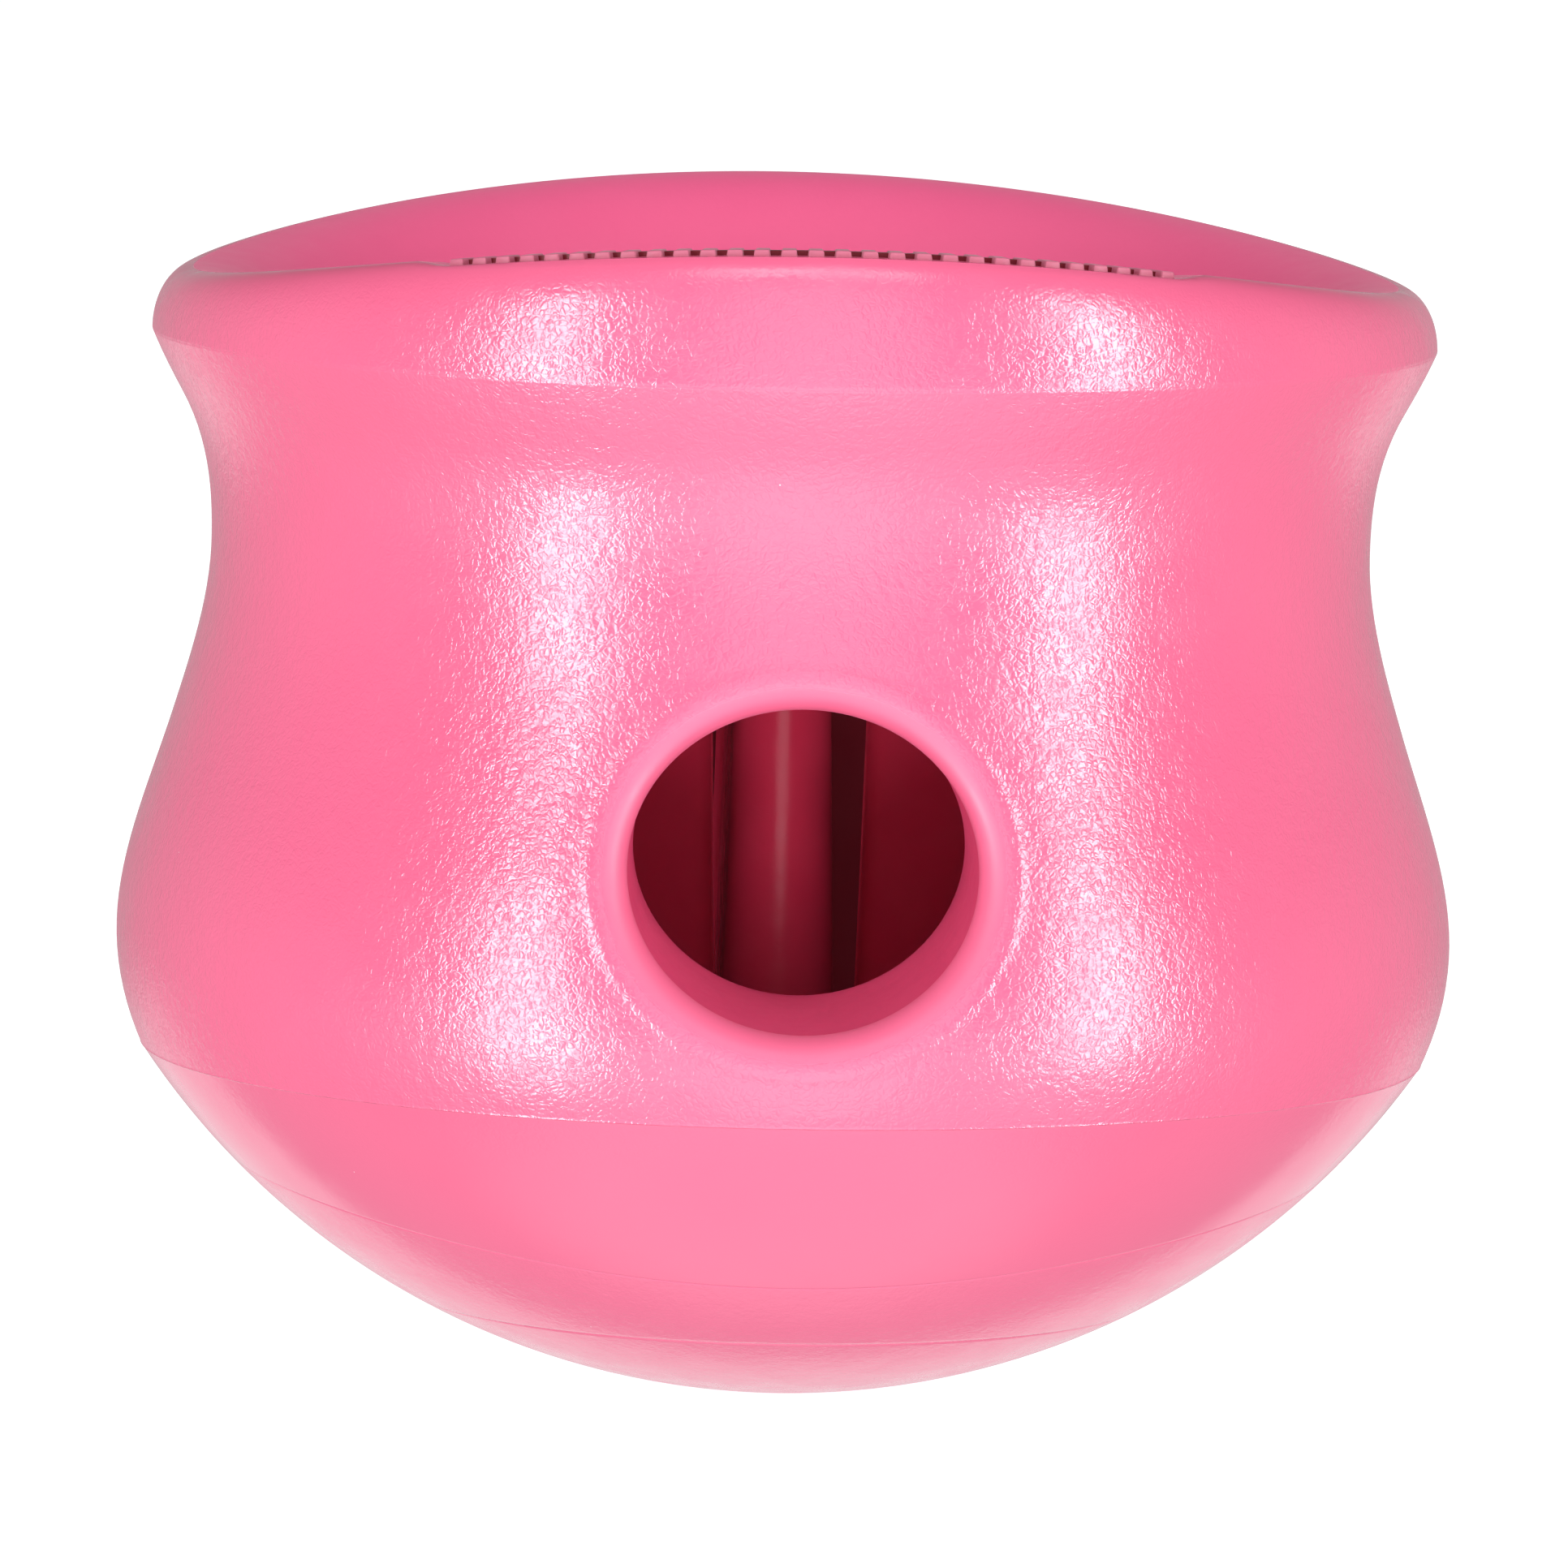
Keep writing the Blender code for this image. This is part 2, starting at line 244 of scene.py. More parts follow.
# adds a node, fills or links its inputs, and gives back one output
def wired(tree, kind, inputs, output=0, **options):
    node = tree.nodes.new(kind)
    for key, value in options.items():
        setattr(node, key, value)
    for socket, value in inputs.items():
        if isinstance(value, bpy.types.NodeSocket):
            tree.links.new(value, node.inputs[socket])
        else:
            node.inputs[socket].default_value = value
    return node.outputs[output]


def maths(tree, operation, first, second=0.0):
    return wired(tree, "ShaderNodeMath", {0: first, 1: second}, operation=operation)


def mapped(tree, value, low, high, start, end):  # a value mapped smoothly from low..high to start..end
    ends = {"Value": value, "From Min": low, "From Max": high, "To Min": start, "To Max": end}
    return wired(tree, "ShaderNodeMapRange", ends, interpolation_type="SMOOTHSTEP")


def noise(tree, place, grain, output=0):  # grain is the size and the detail
    size, detail = grain
    return wired(tree, "ShaderNodeTexNoise", {"Vector": place, "Scale": 1 / size, "Detail": detail}, output)


def vectorMaths(tree, operation, first, second):
    return wired(tree, "ShaderNodeVectorMath", {0: first, 1: second}, operation=operation)


def lengthOf(tree, vector):
    return wired(tree, "ShaderNodeVectorMath", {0: vector}, "Value", operation="LENGTH")


def blended(tree, share, first, second):
    return wired(tree, "ShaderNodeMix", {0: share, 2: first, 3: second})


def tinted(tree, share, under, tint):
    return wired(tree, "ShaderNodeMix", {0: share, 6: under, 7: (*tint, 1)}, 2, data_type="RGBA")


def insideCrest(tree, place):  # 1 on the lip's inner slope, 0 outside
    height = wired(tree, "ShaderNodeSeparateXYZ", {"Vector": place}, "Z")
    out = lengthOf(tree, vectorMaths(tree, "MULTIPLY", place, (1, 1, 0)))
    inner, outer = (crestRadius + reach for reach in rubber["smoothCrest"])
    inward = mapped(tree, out, inner, outer, 1.0, 0.0)
    above = mapped(tree, height, upperSeam, upperSeam + rubber["crestRise"], 0.0, 1.0)
    return maths(tree, "MULTIPLY", inward, above)


def insidePort(tree, place):  # 1 in the port and on its flared edge, 0 on the wall
    offset = vectorMaths(tree, "SUBTRACT", place, (0, 0, portLevel))
    offset = vectorMaths(tree, "MAXIMUM", offset, (-1, 0, -1))  # only x and z count in the front half
    offset = vectorMaths(tree, "MULTIPLY", offset, rubber["portStretch"])
    return mapped(tree, lengthOf(tree, offset), *rubber["smoothPort"], 1.0, 0.0)


def rubberMaterial(name, finish, outside=False):
    material = bpy.data.materials.new(name)
    material.use_nodes = True
    tree = material.node_tree
    shader = tree.nodes["Principled BSDF"]
    shader.inputs["Specular IOR Level"].default_value = finish["specular"]
    shader.inputs["Sheen Weight"].default_value = finish["sheen"]
    shader.inputs["Sheen Roughness"].default_value = finish["sheenRoughness"]
    place = wired(tree, "ShaderNodeTexCoord", {}, "Object")

    pale = maths(tree, "MULTIPLY", noise(tree, place, finish["paleNoise"]), finish["paleShare"])
    specks = {"Vector": place, "Scale": 1 / finish["dustSize"]}
    speck = wired(tree, "ShaderNodeTexVoronoi", specks, "Distance")
    reach = finish["dustReach"]
    dust = mapped(tree, speck, reach * finish["dustCore"], reach, finish["dustShare"], 0.0)
    colour = tinted(tree, pale, (*finish["colour"], 1), finish["paleColour"])
    tree.links.new(tinted(tree, dust, colour, finish["dustColour"]), shader.inputs["Base Color"])

    gloss = noise(tree, place, finish["glossNoise"])
    rough = mapped(tree, gloss, *finish["glossZone"], *finish["roughness"])
    if outside:
        matt = insidePort(tree, place)
        plain = maths(tree, "MAXIMUM", insideCrest(tree, place), matt)
        rough = maths(tree, "ADD", rough, maths(tree, "MULTIPLY", matt, finish["mattShare"]))
        height = wired(tree, "ShaderNodeSeparateXYZ", {"Vector": place}, "Z")
        step = (lowerSeam - finish["seamStep"], lowerSeam)
        rough = maths(tree, "SUBTRACT", rough, mapped(tree, height, *step, finish["baseGloss"], 0.0))
    tree.links.new(rough, shader.inputs["Roughness"])

    bend = vectorMaths(tree, "SUBTRACT", noise(tree, place, finish["bendNoise"], "Color"), (0.5, 0.5, 0.5))
    bend = wired(tree, "ShaderNodeVectorMath", {0: bend, "Scale": finish["bendReach"]}, operation="SCALE")
    bent = vectorMaths(tree, "ADD", place, bend)
    cells = {"Vector": bent, "Scale": 1 / finish["pebbleSize"]}
    edge = wired(tree, "ShaderNodeTexVoronoi", cells, "Distance", feature="DISTANCE_TO_EDGE")
    pebble = mapped(tree, edge, 0.0, finish["pebbleSlope"], 0.0, finish["pebbleBump"])
    wave = maths(tree, "MULTIPLY", noise(tree, bent, finish["waveNoise"]), finish["waveBump"])
    relief = maths(tree, "ADD", pebble, wave)
    if outside:  # no pebbles on the plain parts and few on the base
        low, high = (lowerSeam - depth for depth in finish["seamZone"])
        base = mapped(tree, height, low, high, finish["baseShare"], finish["seamShare"])
        share = maths(tree, "MAXIMUM", base, mapped(tree, height, *step, 0.0, 1.0))
        share = maths(tree, "MULTIPLY", share, maths(tree, "SUBTRACT", 1.0, plain))
        relief = maths(tree, "MULTIPLY", relief, share)
    grain = maths(tree, "MULTIPLY", noise(tree, place, finish["grainNoise"]), finish["grainBump"])
    relief = maths(tree, "ADD", relief, grain)
    bump = wired(tree, "ShaderNodeBump", {"Height": relief, "Distance": 1.0, "Strength": 1.0})
    tree.links.new(bump, shader.inputs["Normal"])
    return material


outerRubber = rubberMaterial("outerRubber", rubber, outside=True)
innerShadeRubber = rubberMaterial("innerShadeRubber", shadedInsideRubber)
finSkin = rubberMaterial("finPaintedLightRubber", finPaintedLightRubber)
litLipSkin = rubberMaterial("litLipRubber", litLipRubber)
barSkin = rubberMaterial("barRubber", barRubber)
shadedPortSkin = rubberMaterial("shadedPortRubber", shadedPortRubber)
capSkin = rubberMaterial("capRubber", capRubber, outside=True)
print("rubber mixed")


# innerSkin goes on the faces that inside picks, and outerSkin on the rest; by default innerSkin is the dark
# rubber that paints shade inside the cup
def dress(piece, inside, innerSkin=innerShadeRubber, outerSkin=outerRubber):
    piece.data.materials.append(outerSkin)
    piece.data.materials.append(innerSkin)
    for face in piece.data.polygons:
        face.material_index = 1 if inside(face.center) else 0


# Side wall with its treat port
port = {
    "halfWidth": 0.0123, "halfHeight": 0.0111,
    "draft": math.radians(2.6), "tilt": math.radians(3), "flare": 0.003, "innerRound": 0.0008,
    "windowColumns": 38, "windowRows": 34, "upperRows": 18, "lowerRows": 6, "seamBand": 0.0008,
    "outerWindow": (0.0276, 0.0624), "innerWindow": (0.0312, 0.0586),
    # the collar's relief beside the mouth's edge, as (distance, height) pairs
    "collar": ((0.0, 0.0), (0.0006, -0.00006), (0.0009, -0.00006), (0.0022, 0.0), (1.0, 0.0)),
    "settleRings": (0.35, 0.62, 0.78, 0.88, 0.93, 0.96, 0.98, 1.0),
    "flareRings": 12, "roundRings": 4, "tunnelCuts": 9,
    "tunnelStart": 0.97,  # share of the flare's depth where the tunnel's darker rubber, painted shade, starts
}
portDepth = wallRadius(portLevel) - cavityRadius(portLevel)


def portCentre(depth):  # height of the port's axis at a depth under the outer wall
    return portLevel + depth * math.tan(port["tilt"])


def portReach(bearing, growth):  # from the port's axis to its oval edge, grown all round
    wide = port["halfWidth"] + growth
    high = port["halfHeight"] + growth
    return wide * high / math.hypot(high * math.cos(bearing), wide * math.sin(bearing))


def onWall(x, z, depth):
    return Vector((x, depth - math.sqrt(wallRadius(z) ** 2 - x * x), z))


def onCavity(x, z, depth):
    return Vector((x, -depth - math.sqrt(cavityRadius(z) ** 2 - x * x), z))


def collarSink(gap):  # relief of the shallow collar, by the distance outside the mouth's edge
    for low, high in zip(port["collar"], port["collar"][1:]):
        if gap <= high[0]:
            share = max((gap - low[0]) / (high[0] - low[0]), 0.0)
            return low[1] + (high[1] - low[1]) * share * share * (3 - 2 * share)
    return 0.0


def portRings(piece, surface, centre, mouth, roundness, rings, sink=None):
    def placed(bearing, reach, depth):
        return surface(reach * math.cos(bearing), centre + reach * math.sin(bearing), depth)

    window = {}  # reach of the square window's edge at each bearing
    for share in port["settleRings"]:  # from the square window to the oval
        bpy.ops.mesh.extrude_region_move()

        def settled(co):
            bearing = math.atan2(co.z - centre, co.x)
            start = window.setdefault(round(bearing, 4), math.hypot(co.z - centre, co.x))
            end = portReach(bearing, mouth + roundness)
            reach = start + (end - start) * share
            return placed(bearing, reach, -sink(reach - end) if sink else 0.0)

        snapPicked(piece, settled)
    for turn in spread(math.pi / 2, 0.0, rings)[1:]:  # round the edge into the tunnel
        bpy.ops.mesh.extrude_region_move()
        growth = mouth + roundness * (1 - math.cos(turn))
        depth = roundness * (1 - math.sin(turn))

        def rounded(co):
            bearing = math.atan2(co.z - centre, co.x)
            return placed(bearing, portReach(bearing, growth), depth)

        snapPicked(piece, rounded)


def inWindow(middle, window):
    bearing = math.atan2(middle.x, -middle.y)
    half = port["windowColumns"] / 2 * math.tau / turnSteps
    return abs(bearing) < half and window[0] < middle.z < window[1]


def makeSideWall():
    nick, cut, band = body["seamWidth"], body["seamDepth"], port["seamBand"]
    fade = body["seamFade"] * nick
    outer, inner = port["outerWindow"], port["innerWindow"]
    heights = [upperSeam - nick, upperSeam - fade] + spread(upperSeam - band, outer[1], port["upperRows"])
    heights += spread(outer[1], outer[0], port["windowRows"])[1:]
    heights += [lowerSeam + band, lowerSeam + fade, lowerSeam + nick]
    profile = [(wallRadius(upperSeam) - cut, upperSeam)]
    profile += [(wallRadius(z), z) for z in heights]
    profile += [(wallRadius(lowerSeam) + body["flashRise"], lowerSeam)]
    heights = spread(lowerSeam, inner[0], port["lowerRows"])
    heights += spread(inner[0], inner[1], port["windowRows"])[1:]
    heights += spread(inner[1], upperSeam, port["upperRows"])[1:]
    profile += [(cavityRadius(z), z) for z in heights]
    wall = spunPiece("sideWall", profile)

    midRadius = (wallRadius(portLevel) + cavityRadius(portLevel)) / 2
    bpy.ops.mesh.select_mode(type="FACE")
    pick(wall, lambda c: inWindow(c, outer) and axisDistance(c) > midRadius, "faces")
    bpy.ops.mesh.delete(type="FACE")
    selectOpenEdges(wall)
    mouth = portDepth * math.tan(port["draft"])
    portRings(wall, onWall, portLevel, mouth, port["flare"], port["flareRings"], collarSink)

    bpy.ops.mesh.select_mode(type="FACE")
    pick(wall, lambda c: inWindow(c, inner) and isCavity(c), "faces")
    bpy.ops.mesh.delete(type="FACE")
    selectOpenEdges(wall, isCavity)
    portRings(wall, onCavity, portCentre(portDepth), 0.0, port["innerRound"], port["roundRings"])

    selectOpenEdges(wall)
    bpy.ops.mesh.bridge_edge_loops(number_cuts=port["tunnelCuts"], interpolation="LINEAR")
    finishPiece(wall)
    dress(wall, isCavity)
    # painted shade: the tunnel past the flare gets the darker rubber
    wall.data.materials.append(shadedPortSkin)
    for face in wall.data.polygons:
        depth = wallRadius(face.center.z) - axisDistance(face.center)
        if face.material_index == 0 and depth > port["flare"] * port["tunnelStart"]:
            face.material_index = 2
    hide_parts("side_wall")
    return wall


# Lip
lip = {
    "height": 0.0072, "wave": 0.00255, "tilt": 0.0003,
    "outerSteps": 20, "innerSteps": 28, "startTurn": 0.04,
}


def lipRise(x, y):  # how much taller the lip is at a bearing than on average, as a share
    out = math.hypot(x, y)
    return (lip["wave"] * (y * y - x * x) / out ** 2 - lip["tilt"] * y / out) / lip["height"]


# Low plain bars, evenly spaced and flush with the crest, in a flat seat at the front, with a bed of dark
# rubber behind them as painted shade in the gaps
bars = {
    "pitch": 0.00198, "width": 0.00135, "length": 0.0018, "rise": 0.00048, "taper": 0.8,
    "round": 0.00012, "roundSteps": 3, "sharpAngle": 60,
    "bedLength": 0.0007, "bedRise": 0.00036, "bedCuts": 4,  # cuts per pitch on either side
    "offset": -0.0006, "bedOffset": -0.0009,  # from the crest, inward is minus
    "arc": math.radians(36), "fade": math.radians(3),
}


def seatLevel(x, y):  # height of the crest at a bearing, less the seat for the bars at the front
    past = (abs(math.atan2(x, -y)) - bars["arc"]) / bars["fade"]
    share = 1 - min(max(past, 0.0), 1.0)
    return upperSeam + lip["height"] * (1 + lipRise(x, y)) - bars["rise"] * share


def lipPoint(reach, turn):  # radius and height of a point on the lip's profile, before its wave
    return crestRadius + reach * math.cos(turn), upperSeam + lip["height"] * math.sin(turn)


def makeLip():
    nick, cut = body["seamWidth"], body["seamDepth"]
    reachIn = crestRadius - cavityRadius(upperSeam)
    profile = [(wallRadius(upperSeam) - cut, upperSeam), (wallRadius(upperSeam), upperSeam + nick)]
    turns = reversed(spread(math.pi / 2, lip["startTurn"], lip["outerSteps"]))
    profile += [lipPoint(body["lipRound"], t) for t in turns]
    turns = spread(math.pi / 2, math.pi, lip["innerSteps"])[1:]
    profile += [lipPoint(reachIn, t) for t in turns]
    rim = spunPiece("rimLip", profile)
    bpy.ops.mesh.select_all(action="SELECT")

    def waved(co):
        co.z = min(upperSeam + (co.z - upperSeam) * (1 + lipRise(co.x, co.y)), seatLevel(co.x, co.y))
        return co

    snapPicked(rim, waved)
    finishPiece(rim)
    dress(rim, lambda c: axisDistance(c) < crestRadius, litLipSkin)
    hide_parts("rim_lip")
    return rim


def onSeat(offset, along, lift):  # point on the seat: offset out from the crest, along the row in pitches
    bearing = along * bars["pitch"] / crestRadius
    out = crestRadius + offset
    x, y = out * math.sin(bearing), -out * math.cos(bearing)
    return Vector((x, y, seatLevel(x, y) + lift))


def openBox(size):  # a box round the origin, in edit mode
    freshStart()
    bpy.ops.mesh.primitive_cube_add(size=1, location=(0, 0, 0), scale=size)
    bpy.ops.object.transform_apply(scale=True)
    bpy.ops.object.mode_set(mode="EDIT")
    return bpy.context.active_object


def makeBars():
    count = int(bars["arc"] * crestRadius / bars["pitch"])
    model = openBox((bars["width"], bars["length"], bars["rise"] * 2))
    pick(model, lambda c: c.z > 0)
    bpy.ops.transform.resize(value=(bars["taper"], 1, 1))
    bpy.ops.object.mode_set(mode="OBJECT")
    bevel = model.modifiers.new("round", "BEVEL")
    bevel.width = bars["round"]
    bevel.segments = bars["roundSteps"]
    bpy.ops.object.modifier_apply(modifier=bevel.name)
    model.data.materials.append(barSkin)
    copies = []
    for i in range(-count, count + 1):
        copy = model.copy()
        copy.data = model.data.copy()
        bpy.context.collection.objects.link(copy)
        for vert in copy.data.vertices:
            x, y, z = vert.co
            vert.co = onSeat(y + bars["offset"], i + x / bars["pitch"], z)
        copies.append(copy)
    bpy.data.objects.remove(model)

    bed = openBox((2 * count, bars["bedLength"], bars["bedRise"] * 2))
    pick(bed, lambda c: abs(c.x) < count / 2, "edges")  # the long ones
    bpy.ops.mesh.subdivide(number_cuts=bars["bedCuts"] * count)
    bpy.ops.mesh.select_all(action="SELECT")
    snapPicked(bed, lambda co: onSeat(co.y + bars["bedOffset"], co.x, co.z))
    bpy.ops.object.mode_set(mode="OBJECT")
    # painted shade: the bed is dark rubber so that the gaps between the bars look shaded
    bed.data.materials.append(innerShadeRubber)
    freshStart()
    for part in (bed, *copies):
        part.select_set(True)
    bpy.context.view_layer.objects.active = bed
    bpy.ops.object.join()
    row = bpy.context.active_object
    row.name = row.data.name = "crestBarsFront"
    finishPiece(row, bars["sharpAngle"])
    return row


# Rounded base, in two pieces that meet on the wavy third line
base = {
    "lineHeight": 0.01475, "lineWave": 0.00265,
    "bowlSteps": 16, "capSteps": 34, "dishSteps": 8, "cornerSteps": 10,
    "ringHeight": 0.0068, "ringWidth": 0.00012, "ringDepth": 0.00004,  # the fine line near the foot
    "seamGap": 0.012, "ringGap": 0.008, "bendGap": 0.01,  # angles kept clear of a seam or the fine line
    "ballMargin": 0.0002, "footMargin": 1e-5,
}


def lineAngle(co):  # the third line's angle up the ball at a bearing: low at the front and back
    out = axisDistance(co)
    return ballAngle(base["lineHeight"] - base["lineWave"] * (co.y ** 2 - co.x ** 2) / out ** 2)


def cornerHeights(low, high, steps):
    reach = [math.acos(max((cornerLevel - z) / body["cavityCorner"], 0.0)) for z in (low, high)]
    return [cornerLevel - body["cavityCorner"] * math.cos(turn) for turn in spread(*reach, steps)]


def nicked(angle, cut):  # a point of the ball, pressed in by cut
    radius, height = ballPoint(angle)
    return radius - cut * math.sin(angle), height + cut * math.cos(angle)


def onBall(co):
    return (Vector((0, 0, ballCentre)) - co).length > body["ballRadius"] - base["ballMargin"]


def angleOf(co):  # angle up the ball at a point
    return math.acos((ballCentre - co.z) / (co - Vector((0, 0, ballCentre))).length)


def moveOnBall(co, angle):
    centre = Vector((0, 0, ballCentre))
    deep = (co - centre).length
    out = axisDistance(co)
    side = math.sin(angle)
    return centre + deep * Vector((side * co.x / out, side * co.y / out, -math.cos(angle)))


def makeBowl():
    nick, cut, gap = body["seamWidth"] / body["ballRadius"], body["seamDepth"], base["seamGap"]
    fade = body["seamFade"] * nick
    top, seam = ballAngle(lowerSeam), ballAngle(baseSeam)
    angles = [top - nick, top - fade] + spread(top - gap, seam + gap, base["bowlSteps"])
    angles += [seam + fade, seam + nick]
    profile = [(wallRadius(lowerSeam) + body["flashRise"], lowerSeam)]
    profile += [ballPoint(a) for a in angles] + [nicked(seam, cut)]
    profile += [(cavityRadius(z), z) for z in cornerHeights(baseSeam, lowerSeam, base["cornerSteps"])]
    bowl = spunPiece("baseBowl", profile)
    pick(bowl, onBall)

    def lined(co):
        share = (top - angleOf(co)) / (top - seam)
        return moveOnBall(co, top - share * (top - lineAngle(co)))

    snapPicked(bowl, lined)
    finishPiece(bowl)
    dress(bowl, isCavity)
    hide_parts("base_bowl")
    return bowl


def makeCap():
    nick, cut = body["seamWidth"] / body["ballRadius"], body["seamDepth"]
    seam, foot = ballAngle(baseSeam), ballAngle(0.0)
    ring = ballAngle(base["ringHeight"])
    half = base["ringWidth"] / body["ballRadius"]
    steps = base["capSteps"] // 2
    angles = [seam - nick, seam - body["seamFade"] * nick]
    angles += spread(seam - base["seamGap"], ring + base["ringGap"], steps)
    profile = [nicked(seam, cut)] + [ballPoint(a) for a in angles]
    profile += [ballPoint(ring + half), nicked(ring, base["ringDepth"]), ballPoint(ring - half)]
    profile += [ballPoint(a) for a in spread(ring - base["ringGap"], foot, steps)]
    profile += [(0.0, 0.0), (0.0, floorLevel)]
    profile += [(cavityRadius(z), z) for z in cornerHeights(floorLevel, baseSeam, base["dishSteps"])]
    cap = spunPiece("baseCap", profile)
    pick(cap, lambda c: onBall(c) and c.z > base["footMargin"])

    def lined(co):
        here, gap = angleOf(co), base["bendGap"]
        share = max((here - ring - gap) / (seam - ring - gap), 0.0)
        return moveOnBall(co, here + share * (lineAngle(co) - seam))

    snapPicked(cap, lined)
    finishPiece(cap)
    dress(cap, lambda c: not onBall(c) and c.z > base["footMargin"], outerSkin=capSkin)
    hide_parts("base_cap")
    return cap


# Fins
fins = {
    "footHalfWidth": 0.0047, "draft": math.radians(1.45), "noseOffset": 0.011, "topRound": 0.003,
    "footRound": 0.0012, "wallRound": 0.0015, "sink": 0.0002,
    "noseSteps": 28, "flankSteps": 8, "rootSteps": 8, "riseSteps": 20, "roundSteps": 8,
}
finBearings = {
    "finBack": ("inner_fin_back", 180),
    "finLeft": ("inner_fin_left", -60),
    "finRight": ("inner_fin_right", 60),
}


def finHeights():
    crown = finTop - fins["topRound"]
    foot = floorLevel + fins["footRound"]
    turns = spread(0.0, math.pi / 2, fins["roundSteps"])
    heights = [floorLevel - fins["sink"]]
    heights += [foot - fins["footRound"] * math.cos(t) for t in turns]
    heights += spread(foot, crown, fins["riseSteps"])[1:]
    heights += [crown + fins["topRound"] * math.sin(t) for t in turns[1:]]
    return heights


def finHalf(height):  # half the fin's thickness at a height
    half = fins["footHalfWidth"] - (height - floorLevel) * math.tan(fins["draft"])
    over = max(height - finTop + fins["topRound"], 0.0)
    half -= fins["topRound"] - math.sqrt(max(fins["topRound"] ** 2 - over ** 2, 0.0))
    under = min(max(floorLevel + fins["footRound"] - height, 0.0), fins["footRound"])
    return half + fins["footRound"] - math.sqrt(max(fins["footRound"] ** 2 - under ** 2, 0.0))


def finOutline(height):  # from the left root round the nose to the right root, as (across, out) pairs
    half = finHalf(height)
    wall = cavityRadius(max(height, floorLevel))
    turns = spread(0.0, math.pi / 2, fins["rootSteps"])
    bend = fins["wallRound"]
    root = [(half + bend * (1 - math.sin(t)), wall - bend * (1 - math.cos(t))) for t in turns]
    root.insert(0, (half + bend, wall + fins["sink"]))
    flank = [(half, d) for d in spread(root[-1][1], fins["noseOffset"], fins["flankSteps"])[1:-1]]
    side = root + flank
    turns = spread(0.0, math.pi, fins["noseSteps"])
    nose = [(half * math.cos(t), fins["noseOffset"] - half * math.sin(t)) for t in turns]
    return side + nose + [(-across, out) for across, out in reversed(side)]


def makeFin(name, node, bearing):
    heights = finHeights()
    rows = len(heights) - 1
    columns = len(finOutline(finTop)) - 1
    freshStart()
    bpy.ops.mesh.primitive_grid_add(x_subdivisions=columns, y_subdivisions=rows, size=1, location=(0, 0, 0))
    fin = bpy.context.active_object
    fin.name = fin.data.name = name
    outlines = [finOutline(z) for z in heights]
    for vert in fin.data.vertices:
        column = round((vert.co.x + 0.5) * columns)
        row = round((vert.co.y + 0.5) * rows)
        across, out = outlines[row][column]
        vert.co = (across, -out, heights[row])
    bpy.ops.object.mode_set(mode="EDIT")
    selectOpenEdges(fin, lambda co: abs(co.z - heights[-1]) < mergeGap)
    bpy.ops.mesh.edge_face_add()
    bpy.ops.object.mode_set(mode="OBJECT")
    fin.data.transform(Matrix.Rotation(math.radians(bearing), 4, "Z"))
    finishPiece(fin)
    fin.data.materials.append(finSkin)
    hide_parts(node)
    return fin


pieces = [makeLip(), makeSideWall(), makeBowl(), makeCap(), makeBars()]
for piece in pieces:
    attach(piece, "root")
for name, (node, bearing) in finBearings.items():
    fin = makeFin(name, node, bearing)
    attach(fin, "root")
print("pieces ride on the body")

# Floor, light and camera
studio = {
    "floorSize": 12.0, "floorColour": 0.4, "floorGlow": 0.95, "floorRoughness": 0.9,
    "lamps": {  # direction seen from the toy in degrees, distance, size and radiance
        "leftStrip": {
            "bearing": -46, "elevation": -4, "distance": 1.0, "width": 0.2, "tall": 1.25, "radiance": 11.5},
        "rightStrip": {
            "bearing": 54, "elevation": 1, "distance": 1.0, "width": 0.2, "tall": 1.12, "radiance": 11.5},
        "frontPanel": {
            "bearing": 2, "elevation": -8, "distance": 1.6, "width": 1.05, "tall": 2.9, "radiance": 0.95},
        "highPanel": {
            "bearing": 0, "elevation": 49, "distance": 1.4, "width": 0.9, "tall": 0.2, "radiance": 12.0,
            "shine": False},  # lights the rubber but isn't seen in its gloss
        "highGleam": {
            "bearing": 0, "elevation": 49, "distance": 1.39, "width": 0.9, "tall": 0.2, "radiance": 2.6},
        "backPanel": {
            "bearing": 178, "elevation": 34, "distance": 1.5, "width": 1.1, "tall": 0.6, "radiance": 1.5,
            "shine": False},
    },
    # the sky's strength and where it changes: front to back in Y, and upward in sine of elevation
    "skyFront": 0.12, "skyBack": 0.45, "skyZone": (-0.7, 0.5), "skyTop": 0.1, "skyTopZone": (0.05, 0.6),
    "skyLowFront": 0.95, "skyLow": 0.42, "skyLowSides": (-0.4, 0.0), "skyLowZone": (-0.3, -0.1),
    "skyUnder": 0.9, "skyUnderZone": (-0.96, -0.82),
    # the white sweep behind, which the base mirrors low down
    "sweep": 0.95, "sweepZone": (0.69, 0.76), "sweepHeight": (-0.3, -0.12),
}


def direction(bearing, elevation):  # unit vector at degrees round from the front and up
    bearing, elevation = math.radians(bearing), math.radians(elevation)
    level = math.cos(elevation)
    return Vector((math.sin(bearing) * level, -math.cos(bearing) * level, math.sin(elevation)))


def makeFloor():
    freshStart()
    bpy.ops.mesh.primitive_plane_add(size=studio["floorSize"], location=(0, 0, 0))
    floor = bpy.context.active_object
    floor.name = "floor"
    material = bpy.data.materials.new("paleFloor")
    material.use_nodes = True
    shader = material.node_tree.nodes["Principled BSDF"]
    shader.inputs["Base Color"].default_value = (*[studio["floorColour"]] * 3, 1)
    shader.inputs["Roughness"].default_value = studio["floorRoughness"]
    shader.inputs["Emission Color"].default_value = (1, 1, 1, 1)
    shader.inputs["Emission Strength"].default_value = studio["floorGlow"]
    floor.data.materials.append(material)
    # the low sky lights the base instead
    floor.visible_diffuse = floor.visible_glossy = floor.visible_shadow = False


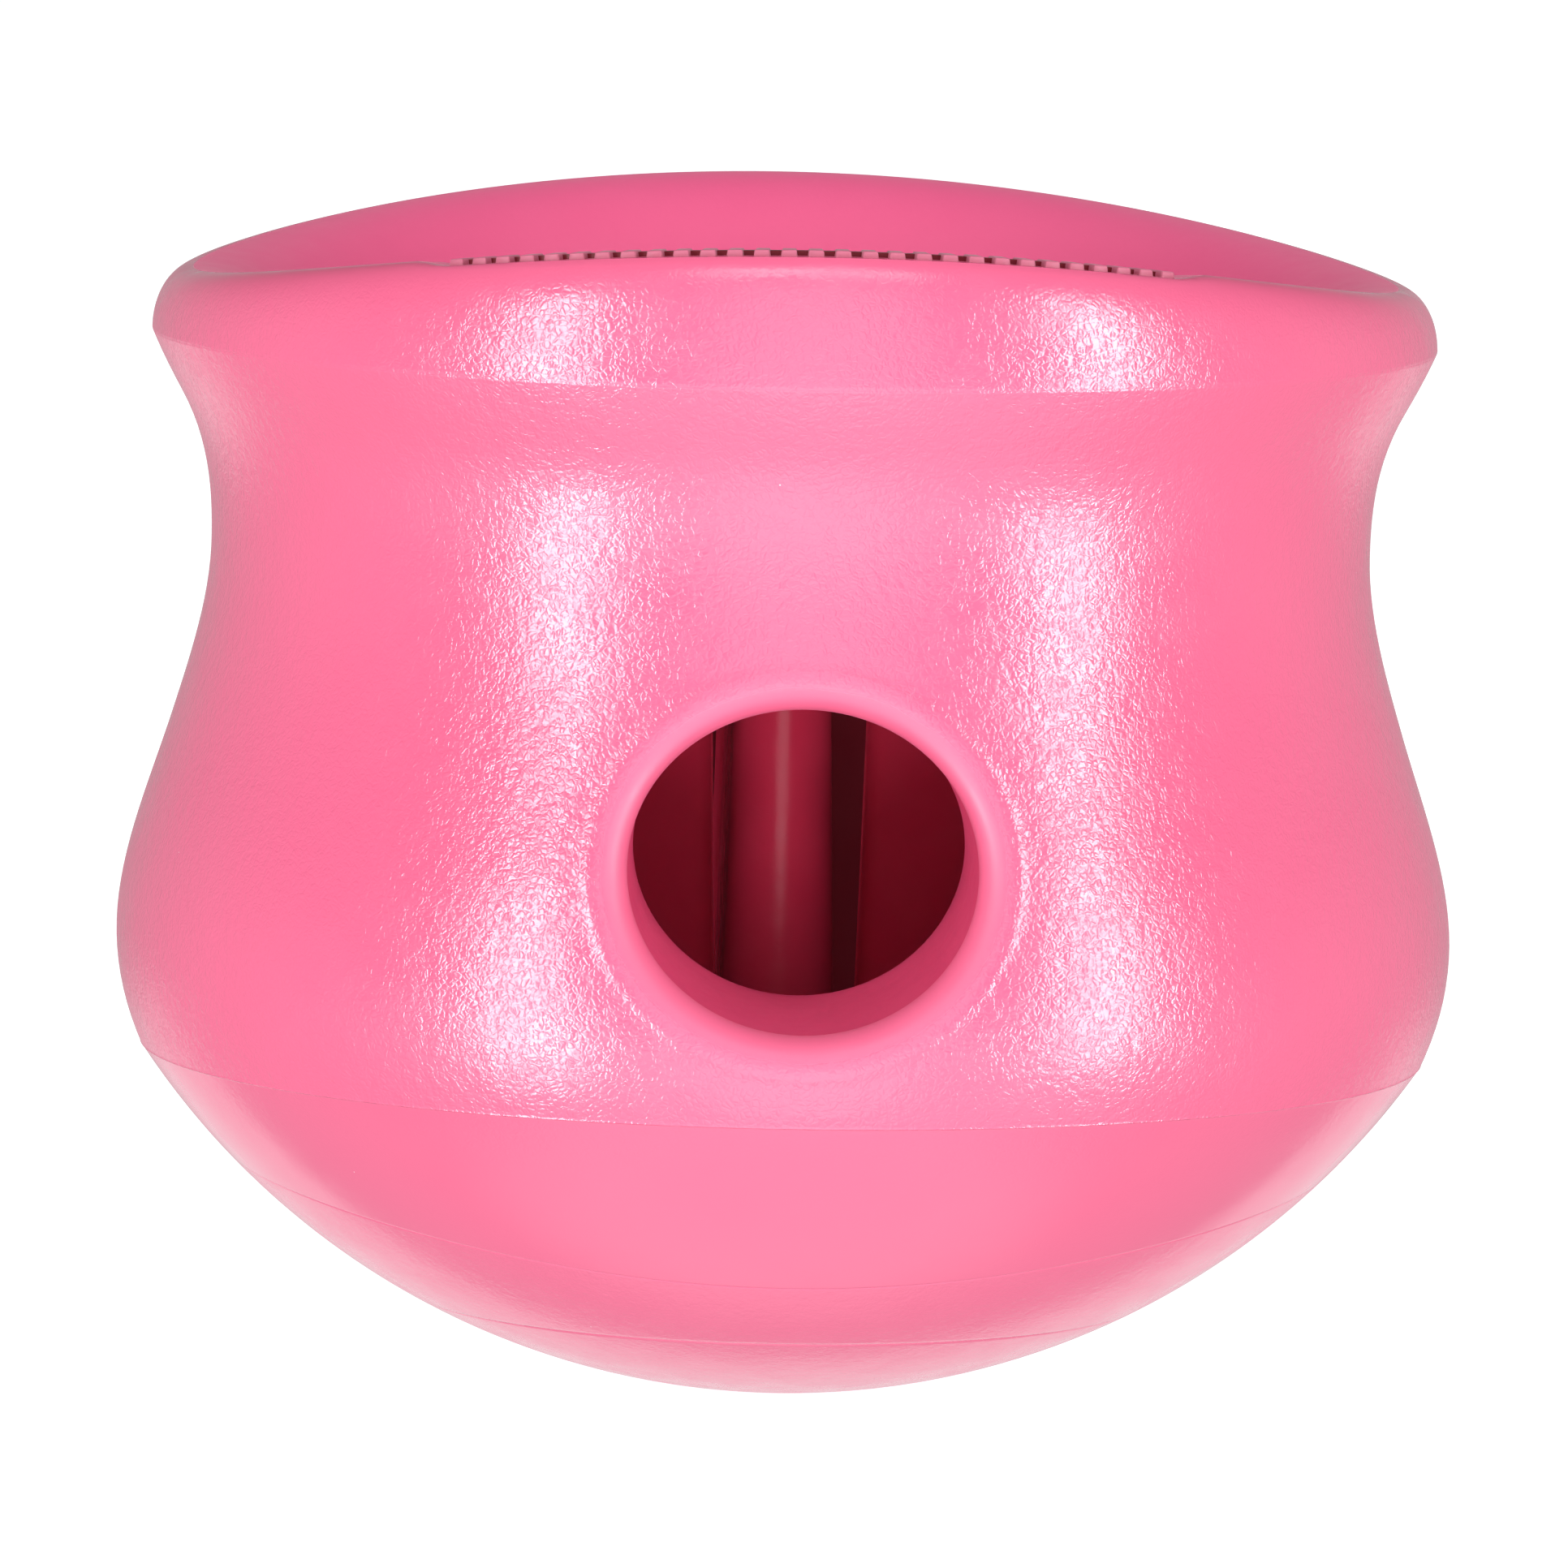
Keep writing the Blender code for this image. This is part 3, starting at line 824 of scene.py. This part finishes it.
def makeLamp(name, lamp):
    light = bpy.data.lights.new(name, "AREA")
    light.shape = "RECTANGLE"
    light.size, light.size_y = lamp["width"], lamp["tall"]
    light.energy = lamp["radiance"] * math.pi * light.size * light.size_y
    holder = bpy.data.objects.new(name, light)
    holder.visible_glossy = lamp.get("shine", True)
    bpy.context.scene.collection.objects.link(holder)
    away = direction(lamp["bearing"], lamp["elevation"])
    holder.location = Vector((0, 0, portLevel)) + away * lamp["distance"]
    holder.rotation_euler = (-away).to_track_quat("-Z", "Y").to_euler()


def makeSky():
    world = bpy.data.worlds.new("whiteStudio")
    bpy.context.scene.world = world
    world.use_nodes = True
    tree = world.node_tree
    away = wired(tree, "ShaderNodeTexCoord", {}, "Generated")
    parts = wired(tree, "ShaderNodeSeparateXYZ", {"Vector": away}).node.outputs
    back, height = parts["Y"], parts["Z"]
    around = mapped(tree, back, *studio["skyZone"], studio["skyFront"], studio["skyBack"])
    above = mapped(tree, height, *studio["skyTopZone"], 0.0, 1.0)
    strength = blended(tree, above, around, studio["skyTop"])
    below = mapped(tree, height, *studio["skyLowZone"], 1.0, 0.0)
    low = mapped(tree, back, *studio["skyLowSides"], studio["skyLowFront"], studio["skyLow"])
    strength = blended(tree, below, strength, low)
    under = mapped(tree, height, *studio["skyUnderZone"], 1.0, 0.0)
    strength = blended(tree, under, strength, studio["skyUnder"])
    behind = mapped(tree, back, *studio["sweepZone"], 0.0, 1.0)
    sweep = maths(tree, "MULTIPLY", behind, mapped(tree, height, *studio["sweepHeight"], 1.0, 0.0))
    strength = blended(tree, sweep, strength, studio["sweep"])
    background = tree.nodes["Background"]
    background.inputs["Color"].default_value = (1, 1, 1, 1)
    tree.links.new(strength, background.inputs["Strength"])


camera = {
    "target": (-0.00015, 0, 0.0459), "distance": 1.24, "bearing": -1.8, "elevation": 6.1,
    "roll": 1.15, "lens": 374, "sensor": 36, "nearest": 0.1,
}


def makeCamera():
    lens = bpy.data.cameras.new("camera")
    lens.lens = camera["lens"]
    lens.sensor_width = camera["sensor"]
    lens.clip_start = camera["nearest"]
    holder = bpy.data.objects.new("camera", lens)
    bpy.context.scene.collection.objects.link(holder)
    away = direction(camera["bearing"], camera["elevation"])
    holder.location = Vector(camera["target"]) + camera["distance"] * away
    aim = (-away).to_track_quat("-Z", "Y") @ Quaternion((0, 0, 1), math.radians(camera["roll"]))
    holder.rotation_euler = aim.to_euler()
    bpy.context.scene.camera = holder


makeFloor()
for name, lamp in studio["lamps"].items():
    makeLamp(name, lamp)
makeSky()
makeCamera()
bpy.context.scene.view_settings.view_transform = "Standard"
print("studio ready")
